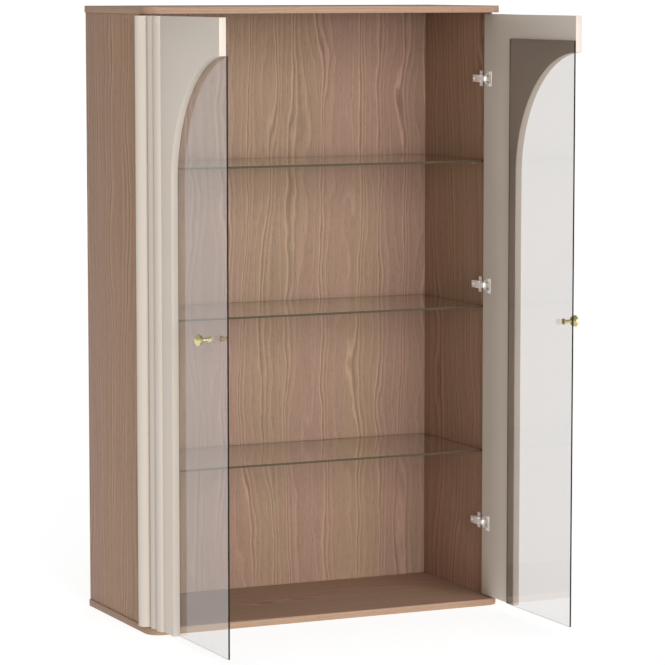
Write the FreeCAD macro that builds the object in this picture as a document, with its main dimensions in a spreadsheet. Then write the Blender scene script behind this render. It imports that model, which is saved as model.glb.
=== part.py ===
import FreeCAD, Part
import Sketcher
import os
import re

# Bookcase with two glass doors, standing open at a right angle.
# Millimetres. X to the right, Y to the back, Z up. The origin is the centre of the underside of the base panel.

SIZES = [
    # carcass
    ("cabinet_width", 900, "over the top and base panels"),
    ("cabinet_depth", 398, "over the top and base panels"),
    ("cabinet_height", 1427, "underside of base to upper face of top"),
    ("board", 16, "thickness of the five carcass boards"),
    ("panel_corner", 35, "radius of the front corners of the top and base panels"),
    ("side_inset", 2.5, "end of top and base to outer face of a side panel"),
    ("side_setback", 55.5, "front of base to front edge of a side panel"),
    ("back_inset", 7, "rear edge of the sides to the rear face of the back board"),
    # glass shelves
    ("shelf_thick", 5, "glass shelf"),
    ("shelf_setback", 63, "front of base to front edge of the shelves"),
    ("shelf_side_gap", 1.5, "shelf end to side panel"),
    ("shelf_back_gap", 3, "shelf to back board"),
    ("first_shelf", 347, "upper face of base up to the lower shelf"),
    ("last_shelf", 349, "underside of top down to the upper shelf"),
    ("pin_radius", 2.5, "shelf pin"),
    ("pin_depth", 9, "shelf pin inside the side panel"),
    ("tab_length", 11, "shelf pin tab, out from the side panel"),
    ("tab_width", 10, "shelf pin tab, along the side panel"),
    ("pad_thick", 1, "clear pad between pin and glass"),
    ("front_pin", 50, "front edge of shelf to front pins"),
    ("rear_pin", 50, "rear edge of shelf to rear pins"),
    # panel joints
    ("screw_radius", 3.2, "panel screw shank"),
    ("screw_length", 50, "panel screw shank"),
    ("screw_head_radius", 4.8, "panel screw head"),
    ("screw_head", 3, "height of the panel screw head"),
    ("cap_thick", 1.5, "cap over a screw head in the top panel"),
    ("dowel_radius", 4, "wooden dowel"),
    ("dowel_length", 30, "wooden dowel"),
    ("dowel_cover", 6, "wood left over a dowel in the top and base panels"),
    ("joint_inset", 50, "edge of a side panel to its panel screw"),
    ("dowel_step", 40, "panel screw to the dowel beside it"),
    ("back_joint", 260, "middle of the back board to its panel screws"),
    ("hole_play", 0.05, "radial play of a fastener in its hole"),
    # doors
    ("door_gap", 4, "door to top panel and to base panel"),
    ("door_inset", 1.5, "outer face of a side panel to the hinge end of the closed door"),
    ("meeting_gap", 3, "between the free edges of the closed doors"),
    ("frame_thick", 16, "door frame board"),
    ("stile_width", 167, "door stile, hinge end to arch"),
    ("rail_height", 82, "top rail at the free edge"),
    ("arch_radius", 290, "arch between stile and rail"),
    ("edge_round", 3, "rounding of the inner corner at the hinge end"),
    ("outer_rib_width", 42, "outer rib"),
    ("outer_rib_height", 26, "outer rib above the frame"),
    ("middle_rib_width", 33, "middle rib"),
    ("middle_rib_height", 10, "middle rib above the frame"),
    ("inner_rib_width", 33, "inner rib"),
    ("inner_rib_height", 9, "inner rib above the frame"),
    ("glass_thick", 4, "door glass"),
    ("glass_lap", 30, "glass over the stile"),
    ("glass_rise", 26, "glass over the top rail at the free edge"),
    # knob
    ("knob_edge", 66, "free edge of the door to the knob"),
    ("knob_head_radius", 14, "knob head"),
    ("knob_bowl", 10, "length of the bowl behind the rim of the head"),
    ("knob_crown", 7, "rise of the domed end of the head"),
    ("knob_stem_radius", 4, "knob stem"),
    ("knob_stem", 13, "length of the knob stem"),
    ("knob_base_radius", 7, "knob base, spacer and washers"),
    ("knob_base", 3, "length of the knob base"),
    ("knob_taper", 3, "length of the taper from base to stem"),
    ("spacer_length", 11.2, "tube between washer and knob"),
    ("washer_thick", 0.8, "clear washer on each face of the glass"),
    ("knob_screw_radius", 2, "knob screw shank"),
    ("knob_screw_grip", 14, "knob screw inside the knob"),
    ("knob_screw_head_radius", 4, "knob screw head"),
    ("knob_screw_head", 2.6, "height of the knob screw head"),
    # hinges
    ("low_hinge", 195, "underside of base up to the lower hinge"),
    ("mid_hinge", 40, "middle hinge above the point halfway between the others"),
    ("high_hinge", 172, "upper face of top down to the upper hinge"),
    ("pivot_in", 11, "hinge end of the door to the hinge pin"),
    ("swing_clear", 0.7, "turning door to the front edge of a side panel"),
    ("cup_radius", 13, "hinge cup"),
    ("cup_wall", 1, "wall and bottom of the cup"),
    ("cup_rim", 0.8, "rim of the cup past its wall"),
    ("cup_edge", 4.5, "hinge end of the door to the cup"),
    ("cup_cover", 1.5, "wood left behind the cup"),
    ("flange_thick", 1.2, "cup flange"),
    ("flange_reach", 22.5, "middle of the cup to the far edge of its flange"),
    ("flange_height", 36, "cup flange"),
    ("cup_screw_step", 13.5, "middle of the cup to its screws, up and down"),
    ("cup_screw_reach", 13.5, "middle of the cup to its screws, along the door"),
    ("cup_screw_grip", 10, "cup screw inside the frame"),
    ("hinge_pin_radius", 1.2, "hinge pin"),
    ("pin_play", 0.05, "radial play of the knuckle on the pin"),
    ("knuckle_wall", 0.95, "wall of the knuckle"),
    ("knuckle_clear", 0.3, "knuckle to the bottom of the cup"),
    ("neck_thick", 2.5, "neck and strip of the hinge arm"),
    ("neck_height", 11, "neck and strip of the hinge arm"),
    ("neck_clear", 0.7, "neck to the wall of the cup"),
    ("arm_height", 17, "block of the hinge arm"),
    ("arm_length", 38, "block of the hinge arm"),
    ("arm_setback", 5, "front edge of a side panel to the arm block"),
    ("plate_thick", 4, "hinge plate under the arm"),
    ("wing_thick", 1.6, "wings of the hinge plate"),
    ("wing_width", 14, "wings of the hinge plate"),
    ("wing_height", 37, "hinge plate over both wings"),
    ("wing_setback", 10, "front of the plate to the wings"),
    ("small_radius", 1.5, "shank of the hinge screws"),
    ("small_head_radius", 2.8, "head of the hinge screws"),
    ("small_head", 1.4, "height of the heads of the hinge screws"),
    ("plate_screw_grip", 10, "plate screw inside the side panel"),
    ("arm_screw_grip", 3, "arm screw inside the hinge plate"),
]
NAMES = {row[0] for row in SIZES}

doc = FreeCAD.newDocument("Bookcase")
sheet = doc.addObject("Spreadsheet::Sheet", "Sizes")
for line, (alias, value, note) in enumerate(SIZES, start=1):
    sheet.set("A%d" % line, alias)
    sheet.set("B%d" % line, str(value))
    sheet.set("C%d" % line, note)
    sheet.setAlias("B%d" % line, alias)
doc.recompute()

# Places that several pieces share, as formulas of the sizes

REAR = "(cabinet_depth/2)"
SIDE_OUT = "(cabinet_width/2 - side_inset)"
SIDE_IN = "(cabinet_width/2 - side_inset - board)"
SIDE_MID = "(cabinet_width/2 - side_inset - board/2)"
SIDE_FRONT = "(side_setback - cabinet_depth/2)"
BACK_FRONT = "(cabinet_depth/2 - back_inset - board)"
BACK_MID = "(cabinet_depth/2 - back_inset - board/2)"
UNDER_TOP = "(cabinet_height - board)"
INNER_HEIGHT = "(cabinet_height - 2*board)"
DOWEL_IN_PANEL = "(board - dowel_cover)"
DOWEL_IN_BOARD = "(dowel_length - board + dowel_cover)"

KNUCKLE = "(hinge_pin_radius + pin_play + knuckle_wall)"
PIVOT_DEEP = "(frame_thick - cup_cover - cup_wall - knuckle_clear - %s)" % KNUCKLE
ROUND_IN = "(pivot_in - edge_round)"
ROUND_DEEP = "(%s - edge_round)" % PIVOT_DEEP
SWEEP = "(sqrt(%s*%s + %s*%s) + edge_round)" % (ROUND_IN, ROUND_IN, ROUND_DEEP, ROUND_DEEP)
PIVOT_X = "(side_inset + door_inset + pivot_in - cabinet_width/2)"
PIVOT_Y = "(%s - %s - swing_clear)" % (SIDE_FRONT, SWEEP)

LEAF = "(cabinet_width/2 - side_inset - door_inset - meeting_gap/2)"
DOOR_FOOT = "(board + door_gap)"
DOOR_TOP = "(cabinet_height - board - door_gap)"
DOOR_HEIGHT = "(cabinet_height - 2*board - 2*door_gap)"
DOOR_X = "(%s + %s)" % (PIVOT_X, PIVOT_DEEP)
DOOR_END = "(%s + pivot_in)" % PIVOT_Y
DOOR_FREE = "(%s - %s)" % (DOOR_END, LEAF)
RISE = "(%s - stile_width - arch_radius)" % LEAF
CROWN = "(%s - rail_height)" % DOOR_TOP
SPRING = "(%s - sqrt(arch_radius*arch_radius - %s*%s))" % (CROWN, RISE, RISE)

CUP_Y = "(%s - cup_edge - cup_radius)" % DOOR_END
CUP_DEPTH = "(frame_thick - cup_cover)"
CUP_BORE = "(cup_radius - cup_wall)"
PIN_OFF = "(cup_edge + cup_radius - pivot_in)"
PIN_FAR = "(%s + hinge_pin_radius)" % PIN_OFF
PIN_HALF = "(sqrt(cup_radius*cup_radius - %s*%s) - hole_play)" % (PIN_FAR, PIN_FAR)
NECK_REACH = "({0} + sqrt({1}*{1} - neck_height*neck_height/4) - neck_clear)".format(PIN_OFF, CUP_BORE)
ARM_TOP = "(%s + %s)" % (PIVOT_X, NECK_REACH)
PLATE_TOP = "(plate_thick - %s)" % SIDE_IN
ARM_FRONT = "(%s + arm_setback)" % SIDE_FRONT
WING_MID = "(%s + wing_setback + wing_width/2)" % ARM_FRONT

KNOB_Y = "(%s + knob_edge)" % DOOR_FREE
KNOB_Z = "(cabinet_height/2)"
KNOB_SEAT = "(%s - washer_thick - spacer_length)" % DOOR_X

HIGH_HINGE = "(cabinet_height - high_hinge)"
MID_HINGE = "((%s + low_hinge)/2 + mid_hinge)" % HIGH_HINGE
HINGES = [("upper", HIGH_HINGE), ("middle", MID_HINGE), ("lower", "low_hinge")]

LOWER_SHELF = "(board + first_shelf)"
UPPER_SHELF = "(cabinet_height - board - last_shelf - shelf_thick)"
SHELVES = [("lower", LOWER_SHELF), ("middle", "((%s + %s)/2)" % (LOWER_SHELF, UPPER_SHELF)), ("upper", UPPER_SHELF)]

RIGHT = FreeCAD.Vector(1, 0, 0)
LEFT = FreeCAD.Vector(-1, 0, 0)
UP = FreeCAD.Vector(0, 0, 1)
DOWN = FreeCAD.Vector(0, 0, -1)

nodes = []


def formula(text):
    def in_sheet(word):
        return "Sizes." + word.group(0) if word.group(0) in NAMES else word.group(0)
    return re.sub(r"[a-z_]+", in_sheet, text)


def bind(item, **properties):
    for name, text in properties.items():
        item.setExpression(name, formula(text))


def place(item, x, y, z):
    for axis, text in (("x", x), ("y", y), ("z", z)):
        item.setExpression("Placement.Base." + axis, formula(text))


def minus(text):
    return "(0 - %s)" % text


def box(x, y, z, length, width, height):
    item = doc.addObject("Part::Box", "Block")
    bind(item, Length=length, Width=width, Height=height)
    place(item, x, y, z)
    return item


def rod(x, y, z, along, radius, length):
    item = doc.addObject("Part::Cylinder", "Rod")
    item.Placement.Rotation = FreeCAD.Rotation(UP, along)
    bind(item, Radius=radius, Height=length)
    place(item, x, y, z)
    return item


def join(items):
    item = doc.addObject("Part::MultiFuse", "Joined")
    item.Shapes = items
    return item


def cut(base, tools):
    item = doc.addObject("Part::Cut", "Cut")
    item.Base = base
    item.Tool = tools[0] if len(tools) == 1 else join(tools)
    return item


def group(items):
    item = doc.addObject("Part::Compound", "Group")
    item.Links = items
    return item


def mirrored(source):
    item = doc.addObject("Part::Mirroring", "Mirrored")
    item.Source = source
    item.Normal = RIGHT
    item.Base = FreeCAD.Vector(0, 0, 0)
    return item


def node(label, item):
    item.Label = label
    nodes.append(item)
    return item


def both_sides(name, item):
    node("left_" + name, item)
    node("right_" + name, mirrored(item))


def screw(x, y, z, along, radius, length, head_radius, head):
    shank = rod(x, y, z, along, radius, length)
    cap = rod(x, y, z, along.negative(), head_radius, head)
    return join([shank, cap])


def profile(body, plane, name):
    sketch = body.newObject("Sketcher::SketchObject", name)
    origin = [item for item in body.Origin.OriginFeatures if item.Role == plane][0]
    sketch.AttachmentSupport = (origin, [""])
    sketch.MapMode = "FlatFace"
    return sketch


def number(text):
    return FreeCAD.Units.Quantity(str(sheet.evalExpression(formula(text)))).Value


def limit(sketch, text, *constraint):
    # the sketch is drawn at true size, so each constraint starts from the value of its formula
    index = sketch.addConstraint(Sketcher.Constraint(*constraint, number(text)))
    sketch.setExpression("Constraints[%d]" % index, formula(text))


def board(name, length, width, height, corners, radius):
    # a board drawn in plan and padded upwards, with some of its upright edges rounded
    body = doc.addObject("PartDesign::Body", name)
    sketch = profile(body, "XY_Plane", name + "Plan")
    across, along = number(length), number(width)
    points = [(0, 0), (across, 0), (across, along), (0, along)]
    for index in range(4):
        start = FreeCAD.Vector(*points[index], 0)
        end = FreeCAD.Vector(*points[(index + 1) % 4], 0)
        sketch.addGeometry(Part.LineSegment(start, end), False)
    for index in range(4):
        sketch.addConstraint(Sketcher.Constraint("Coincident", index, 2, (index + 1) % 4, 1))
        sketch.addConstraint(Sketcher.Constraint("Vertical" if index % 2 else "Horizontal", index))
    sketch.addConstraint(Sketcher.Constraint("Coincident", 0, 1, -1, 1))
    limit(sketch, length, "DistanceX", 0, 1, 0, 2)
    limit(sketch, width, "DistanceY", 1, 1, 1, 2)
    pad = body.newObject("PartDesign::Pad", name + "Pad")
    pad.Profile = sketch
    bind(pad, Length=height)
    sketch.Visibility = False
    doc.recompute()
    edges = []
    for corner in corners:
        spot = FreeCAD.Vector(*points[corner], 0)
        for index, edge in enumerate(pad.Shape.Edges, start=1):
            upright = all(abs(end.X - spot.x) + abs(end.Y - spot.y) < 0.001 for end in edge.Vertexes)
            if upright:
                edges.append("Edge%d" % index)
    if edges:
        rounding = body.newObject("PartDesign::Fillet", name + "Rounding")
        rounding.Base = (pad, edges)
        bind(rounding, Radius=radius)
    return body


# Places of the panel joints: two screws and two dowels in each side panel, two of each in the back board


def side_joints(sign):
    x = "(%s*%s)" % (sign, SIDE_MID)
    front = "%s + joint_inset" % SIDE_FRONT
    rear = "%s - joint_inset" % BACK_FRONT
    screws = [(x, "(%s)" % front), (x, "(%s)" % rear)]
    dowels = [(x, "(%s + dowel_step)" % front), (x, "(%s - dowel_step)" % rear)]
    return screws, dowels


LEFT_SCREWS, LEFT_DOWELS = side_joints("-1")
RIGHT_SCREWS, RIGHT_DOWELS = side_joints("1")
BACK_SCREWS = [("(-back_joint)", BACK_MID), ("back_joint", BACK_MID)]
BACK_DOWELS = [("(-back_joint - dowel_step)", BACK_MID), ("(back_joint + dowel_step)", BACK_MID)]
SCREW_PLACES = LEFT_SCREWS + RIGHT_SCREWS + BACK_SCREWS
DOWEL_PLACES = LEFT_DOWELS + RIGHT_DOWELS + BACK_DOWELS
HOLE = "(screw_radius + hole_play)"
HEAD_HOLE = "(screw_head_radius + hole_play)"
DOWEL_HOLE = "(dowel_radius + hole_play)"
TOP_SEAT = "(cabinet_height - cap_thick - screw_head)"
BASE_SEAT = "screw_head"


def screw_holes(places):
    holes = []
    for x, y in places:
        holes.append(rod(x, y, TOP_SEAT, DOWN, HOLE, "screw_length"))
        holes.append(rod(x, y, BASE_SEAT, UP, HOLE, "screw_length"))
    return holes


def dowel_holes(places):
    holes = []
    for x, y in places:
        holes.append(rod(x, y, "(%s + %s)" % (UNDER_TOP, DOWEL_IN_PANEL), DOWN, DOWEL_HOLE, "dowel_length"))
        holes.append(rod(x, y, "(board - %s)" % DOWEL_IN_PANEL, UP, DOWEL_HOLE, "dowel_length"))
    return holes


# Top and base panel

for label, z in (("top_panel", UNDER_TOP), ("base_panel", "0")):
    blank = board(label.title().replace("_", ""), "cabinet_width", "cabinet_depth", "board", (0, 1), "panel_corner")
    place(blank, "(-cabinet_width/2)", "(-cabinet_depth/2)", z)
    tools = []
    for x, y in SCREW_PLACES:
        if label == "top_panel":
            tools.append(rod(x, y, TOP_SEAT, DOWN, HOLE, "board"))
            tools.append(rod(x, y, TOP_SEAT, UP, HEAD_HOLE, "(cap_thick + screw_head)"))
        else:
            tools.append(rod(x, y, BASE_SEAT, UP, HOLE, "board"))
            tools.append(rod(x, y, BASE_SEAT, DOWN, HEAD_HOLE, "screw_head"))
    for x, y in DOWEL_PLACES:
        dowel_z = UNDER_TOP if label == "top_panel" else "(board - %s)" % DOWEL_IN_PANEL
        tools.append(rod(x, y, dowel_z, UP, DOWEL_HOLE, DOWEL_IN_PANEL))
    node(label, cut(blank, tools))

# Side panels, drilled for panel joints, shelf pins and hinge plates

SHELF_BACK = "(%s - shelf_back_gap)" % BACK_FRONT
SHELF_FRONT = "(shelf_setback - cabinet_depth/2)"
PIN_YS = ["(%s + front_pin)" % SHELF_FRONT, "(%s - rear_pin)" % SHELF_BACK]


def pin_height(under):
    return "(%s - pad_thick - pin_radius)" % under


def plate_screw_places():
    places = []
    for _, z in HINGES:
        for sign in ("+", "-"):
            places.append("(%s %s (wing_height + arm_height)/4)" % (z, sign))
    return places


side = box(minus(SIDE_OUT), SIDE_FRONT, "board", "board", "(%s - %s)" % (REAR, SIDE_FRONT), INNER_HEIGHT)
side_tools = screw_holes(LEFT_SCREWS) + dowel_holes(LEFT_DOWELS)
for _, under in SHELVES:
    for y in PIN_YS:
        side_tools.append(rod(minus(SIDE_IN), y, pin_height(under), LEFT, "(pin_radius + hole_play)", "pin_depth"))
for z in plate_screw_places():
    side_tools.append(rod(minus(SIDE_IN), WING_MID, z, LEFT, "(small_radius + hole_play)", "plate_screw_grip"))
both_sides("side_panel", cut(side, side_tools))

# Back board

back = box(minus(SIDE_IN), BACK_FRONT, "board", "2*%s" % SIDE_IN, "board", INNER_HEIGHT)
node("back_panel", cut(back, screw_holes(BACK_SCREWS) + dowel_holes(BACK_DOWELS)))

# Panel screws, caps and dowels

top_screws = []
base_screws = []
caps = []
for x, y in SCREW_PLACES:
    fastener = ("screw_radius", "screw_length", "screw_head_radius", "screw_head")
    top_screws.append(screw(x, y, TOP_SEAT, DOWN, *fastener))
    base_screws.append(screw(x, y, BASE_SEAT, UP, *fastener))
    caps.append(rod(x, y, "(cabinet_height - cap_thick)", UP, "screw_head_radius", "cap_thick"))
node("top_panel_screws", group(top_screws))
node("top_screw_caps", group(caps))
node("base_panel_screws", group(base_screws))
top_dowels = []
base_dowels = []
for x, y in DOWEL_PLACES:
    top_dowels.append(rod(x, y, "(%s - %s)" % (UNDER_TOP, DOWEL_IN_BOARD), UP, "dowel_radius", "dowel_length"))
    base_dowels.append(rod(x, y, "(board - %s)" % DOWEL_IN_PANEL, UP, "dowel_radius", "dowel_length"))
node("top_dowels", group(top_dowels))
node("base_dowels", group(base_dowels))

# Glass shelves on pins with clear pads

SHELF_HALF = "(%s - shelf_side_gap)" % SIDE_IN
pins = []
pads = []
for name, under in SHELVES:
    shelf = box(minus(SHELF_HALF), SHELF_FRONT, under, "2*%s" % SHELF_HALF,
                "(%s - %s)" % (SHELF_BACK, SHELF_FRONT), "shelf_thick")
    node(name + "_glass_shelf", shelf)
    for y in PIN_YS:
        tab_y = "(%s - tab_width/2)" % y
        for edge, toward in ((minus(SIDE_IN), LEFT), ("(%s - tab_length)" % SIDE_IN, RIGHT)):
            tab = box(edge, tab_y, "(%s - pin_radius)" % pin_height(under), "tab_length", "tab_width", "2*pin_radius")
            root = minus(SIDE_IN) if toward == LEFT else SIDE_IN
            peg = rod(root, y, pin_height(under), toward, "pin_radius", "pin_depth")
            pins.append(join([tab, peg]))
            pads.append(box(edge, tab_y, "(%s - pad_thick)" % under, "tab_length", "tab_width", "pad_thick"))
node("shelf_pins", group(pins))
node("shelf_pads", group(pads))

# Hinges: plate and arm on the carcass, cup and pin on the door

plate_screws = []
arm_screws = []
cup_screws = []
hinge_pins = []
cup_bores = []
SMALL = ("small_head_radius", "small_head")
SMALL_HOLE = "(small_radius + hole_play)"
ARM_SCREW_Y = "(%s + wing_setback + wing_width + (arm_length - wing_setback - wing_width)/2)" % ARM_FRONT
for name, z in HINGES:
    # plate: a bar under the arm and two wings
    bar = box(minus(SIDE_IN), ARM_FRONT, "(%s - arm_height/2)" % z, "plate_thick", "arm_length", "arm_height")
    wings = box(minus(SIDE_IN), "(%s + wing_setback)" % ARM_FRONT, "(%s - wing_height/2)" % z,
                "wing_thick", "wing_width", "wing_height")
    plate_holes = [rod(PLATE_TOP, ARM_SCREW_Y, z, LEFT, SMALL_HOLE, "arm_screw_grip")]
    for sign in ("+", "-"):
        screw_z = "(%s %s (wing_height + arm_height)/4)" % (z, sign)
        wing_face = "(wing_thick - %s)" % SIDE_IN
        plate_holes.append(rod(wing_face, WING_MID, screw_z, LEFT, SMALL_HOLE, "wing_thick"))
        plate_screws.append(screw(wing_face, WING_MID, screw_z, LEFT, "small_radius",
                                  "(wing_thick + plate_screw_grip)", *SMALL))
    both_sides(name + "_hinge_plate", cut(join([bar, wings]), plate_holes))

    # arm: block on the plate, strip past the door edge, neck into the cup, knuckle round the pin
    block = box(PLATE_TOP, ARM_FRONT, "(%s - arm_height/2)" % z, "(%s - %s)" % (ARM_TOP, PLATE_TOP),
                "arm_length", "arm_height")
    neck_z = "(%s - neck_height/2)" % z
    neck_y = "(%s - neck_thick/2)" % PIVOT_Y
    strip = box("(%s - neck_thick)" % ARM_TOP, neck_y, neck_z, "neck_thick", "(%s - %s)" % (ARM_FRONT, neck_y),
                "neck_height")
    neck = box(PIVOT_X, neck_y, neck_z, NECK_REACH, "neck_thick", "neck_height")
    knuckle = rod(PIVOT_X, PIVOT_Y, neck_z, UP, KNUCKLE, "neck_height")
    pin_hole = rod(PIVOT_X, PIVOT_Y, neck_z, UP, "(hinge_pin_radius + pin_play)", "neck_height")
    arm_hole = rod(ARM_TOP, ARM_SCREW_Y, z, LEFT, SMALL_HOLE, "(%s - %s)" % (ARM_TOP, PLATE_TOP))
    both_sides(name + "_hinge_arm", cut(join([block, strip, neck, knuckle]), [pin_hole, arm_hole]))
    arm_screws.append(screw(ARM_TOP, ARM_SCREW_Y, z, LEFT, "small_radius",
                            "(%s - %s + arm_screw_grip)" % (ARM_TOP, PLATE_TOP), *SMALL))

    # cup: a bowl sunk in the frame, with a rim and a flange on its inner face
    bowl = rod(DOOR_X, CUP_Y, z, LEFT, "cup_radius", CUP_DEPTH)
    rim = rod(DOOR_X, CUP_Y, z, RIGHT, "(cup_radius + cup_rim)", "flange_thick")
    flange = box(DOOR_X, "(%s - flange_reach)" % CUP_Y, "(%s - flange_height/2)" % z,
                 "flange_thick", "flange_reach", "flange_height")
    flange_face = "(%s + flange_thick)" % DOOR_X
    hollow = rod(flange_face, CUP_Y, z, LEFT, CUP_BORE, "(%s - cup_wall + flange_thick)" % CUP_DEPTH)
    pin_foot = "(%s - %s)" % (z, PIN_HALF)
    pin_length = "2*%s" % PIN_HALF
    cup_tools = [hollow, rod(PIVOT_X, PIVOT_Y, pin_foot, UP, "hinge_pin_radius", pin_length)]
    hinge_pins.append(rod(PIVOT_X, PIVOT_Y, pin_foot, UP, "hinge_pin_radius", pin_length))
    cup_bores.append(rod(DOOR_X, CUP_Y, z, LEFT, "cup_radius", CUP_DEPTH))
    for sign in ("+", "-"):
        spot = (flange_face, "(%s - cup_screw_reach)" % CUP_Y, "(%s %s cup_screw_step)" % (z, sign), LEFT)
        grip = "(flange_thick + cup_screw_grip)"
        cup_tools.append(rod(*spot, SMALL_HOLE, "flange_thick"))
        cup_bores.append(rod(*spot, SMALL_HOLE, grip))
        cup_screws.append(screw(*spot, "small_radius", grip, *SMALL))
    both_sides(name + "_hinge_cup", cut(join([bowl, rim, flange]), cup_tools))
both_sides("hinge_pins", group(hinge_pins))
both_sides("cup_screws", group(cup_screws))
for label, screws in (("hinge_plate_screws", plate_screws), ("hinge_arm_screws", arm_screws)):
    left_half = group(screws)
    node(label, group([left_half, mirrored(left_half)]))

# Door frame: stile and top rail in one board, with the arch cut out

leaf = board("DoorBoard", "frame_thick", LEAF, DOOR_HEIGHT, (2,), "edge_round")
place(leaf, "(%s - frame_thick)" % DOOR_X, DOOR_FREE, DOOR_FOOT)
arch = rod(DOOR_X, "(%s - stile_width - arch_radius)" % DOOR_END, SPRING, LEFT, "arch_radius", "frame_thick")
opening = box("(%s - frame_thick)" % DOOR_X, DOOR_FREE, DOOR_FOOT, "frame_thick",
              "(%s - stile_width)" % LEAF, "(%s - %s)" % (SPRING, DOOR_FOOT))
both_sides("door_frame", cut(leaf, [arch, opening] + cup_bores))

# Ribs: half ellipses on the outer face of the stile, side by side from the hinge end


def rib(start, width, height):
    face_x = "(%s - frame_thick)" % DOOR_X
    middle = "(%s - (%s) - %s/2)" % (DOOR_END, start, width)
    outline = doc.addObject("Part::Ellipse", "RibOutline")
    if number("%s/2" % width) > number(height):
        outline.Placement.Rotation = FreeCAD.Rotation(UP, 90)
        bind(outline, MajorRadius="%s/2" % width, MinorRadius=height)
    else:
        bind(outline, MajorRadius=height, MinorRadius="%s/2" % width)
    place(outline, face_x, middle, DOOR_FOOT)
    strip = doc.addObject("Part::Extrusion", "RibStrip")
    strip.Base = outline
    strip.DirMode = "Custom"
    strip.Dir = UP
    strip.Solid = True
    bind(strip, LengthFwd=DOOR_HEIGHT)
    half = box("(%s - %s)" % (face_x, height), "(%s - %s/2)" % (middle, width), DOOR_FOOT,
               height, width, DOOR_HEIGHT)
    item = doc.addObject("Part::Common", "Rib")
    item.Base = strip
    item.Tool = half
    return item


rib_start = "0"
for name in ("outer_rib", "middle_rib", "inner_rib"):
    both_sides(name, rib(rib_start, name + "_width", name + "_height"))
    rib_start = "%s + %s_width" % (rib_start, name)

# Door glass, bonded to the inner face of the frame

pane = box(DOOR_X, DOOR_FREE, DOOR_FOOT, "glass_thick", "(%s - stile_width + glass_lap)" % LEAF,
           "(%s + glass_rise - %s)" % (CROWN, DOOR_FOOT))
SCREW_BORE = "(knob_screw_radius + hole_play)"
INNER_FACE = "(%s + glass_thick)" % DOOR_X
both_sides("door_glass", cut(pane, [rod(INNER_FACE, KNOB_Y, KNOB_Z, LEFT, SCREW_BORE, "glass_thick")]))

# Knob with spacer, washers and screw


def arc_on_axis(start, end):
    # an arc from start to end, seen as part of a circle with its middle on the knob's axis
    rise = end.y - start.y
    middle = (start.y + end.y)/2 + (end.x*end.x - start.x*start.x)/(2*rise)
    centre = FreeCAD.Vector(0, middle, 0)
    circle = Part.Circle(centre, UP, start.distanceToPoint(centre))
    return Part.ArcOfCircle(circle, circle.parameter(start), circle.parameter(end))


def knob_section():
    # half section of the knob, radius across and length upwards
    body = doc.addObject("PartDesign::Body", "Knob")
    sketch = profile(body, "XY_Plane", "KnobSection")
    taper_end = "(knob_base + knob_taper)"
    stem_end = "(%s + knob_stem)" % taper_end
    rim = "(%s + knob_bowl)" % stem_end
    tip = "(%s + knob_crown)" % rim
    corners = [("0", "0"), ("knob_base_radius", "0"), ("knob_base_radius", "knob_base"),
               ("knob_stem_radius", taper_end), ("knob_stem_radius", stem_end), ("knob_head_radius", rim), ("0", tip)]
    points = [FreeCAD.Vector(number(across), number(along), 0) for across, along in corners]
    for index in range(4):
        sketch.addGeometry(Part.LineSegment(points[index], points[index + 1]), False)
    bowl = sketch.addGeometry(arc_on_axis(points[4], points[5]), False)
    crown = sketch.addGeometry(arc_on_axis(points[5], points[6]), False)
    axis = sketch.addGeometry(Part.LineSegment(points[6], points[0]), False)
    ring = [(0, 1, 2), (1, 1, 2), (2, 1, 2), (3, 1, 2), (bowl, 1, 2), (crown, 1, 2), (axis, 1, 2)]
    for index, (line, _, end) in enumerate(ring):
        following, start, _ = ring[(index + 1) % len(ring)]
        sketch.addConstraint(Sketcher.Constraint("Coincident", line, end, following, start))
    sketch.addConstraint(Sketcher.Constraint("Coincident", 0, 1, -1, 1))
    sketch.addConstraint(Sketcher.Constraint("Horizontal", 0))
    sketch.addConstraint(Sketcher.Constraint("Vertical", 1))
    sketch.addConstraint(Sketcher.Constraint("Vertical", 3))
    for arc in (bowl, crown):
        sketch.addConstraint(Sketcher.Constraint("PointOnObject", arc, 3, -2))
    sketch.addConstraint(Sketcher.Constraint("PointOnObject", axis, 1, -2))
    limit(sketch, "knob_base_radius", "DistanceX", 0, 1, 0, 2)
    limit(sketch, "knob_base", "DistanceY", 1, 1, 1, 2)
    limit(sketch, "knob_stem_radius", "DistanceX", -1, 1, 3, 1)
    limit(sketch, taper_end, "DistanceY", -1, 1, 3, 1)
    limit(sketch, stem_end, "DistanceY", -1, 1, 3, 2)
    limit(sketch, "knob_head_radius", "DistanceX", -1, 1, crown, 1)
    limit(sketch, rim, "DistanceY", -1, 1, crown, 1)
    limit(sketch, tip, "DistanceY", -1, 1, axis, 1)
    turned = body.newObject("PartDesign::Revolution", "KnobTurned")
    turned.Profile = sketch
    turned.ReferenceAxis = (sketch, ["V_Axis"])
    turned.Angle = 360
    sketch.Visibility = False
    return body


knob = knob_section()
knob.Placement.Rotation = FreeCAD.Rotation(FreeCAD.Vector(0, 1, 0), LEFT)
place(knob, KNOB_SEAT, KNOB_Y, KNOB_Z)
both_sides("knob", cut(knob, [rod(KNOB_SEAT, KNOB_Y, KNOB_Z, LEFT, SCREW_BORE, "knob_screw_grip")]))
spacer = rod(KNOB_SEAT, KNOB_Y, KNOB_Z, RIGHT, "knob_base_radius", "spacer_length")
both_sides("knob_spacer", cut(spacer, [rod(KNOB_SEAT, KNOB_Y, KNOB_Z, RIGHT, SCREW_BORE, "spacer_length")]))
washers = []
for x, toward in ((DOOR_X, LEFT), (INNER_FACE, RIGHT)):
    disc = rod(x, KNOB_Y, KNOB_Z, toward, "knob_base_radius", "washer_thick")
    washers.append(cut(disc, [rod(x, KNOB_Y, KNOB_Z, toward, SCREW_BORE, "washer_thick")]))
both_sides("knob_washers", group(washers))
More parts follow.
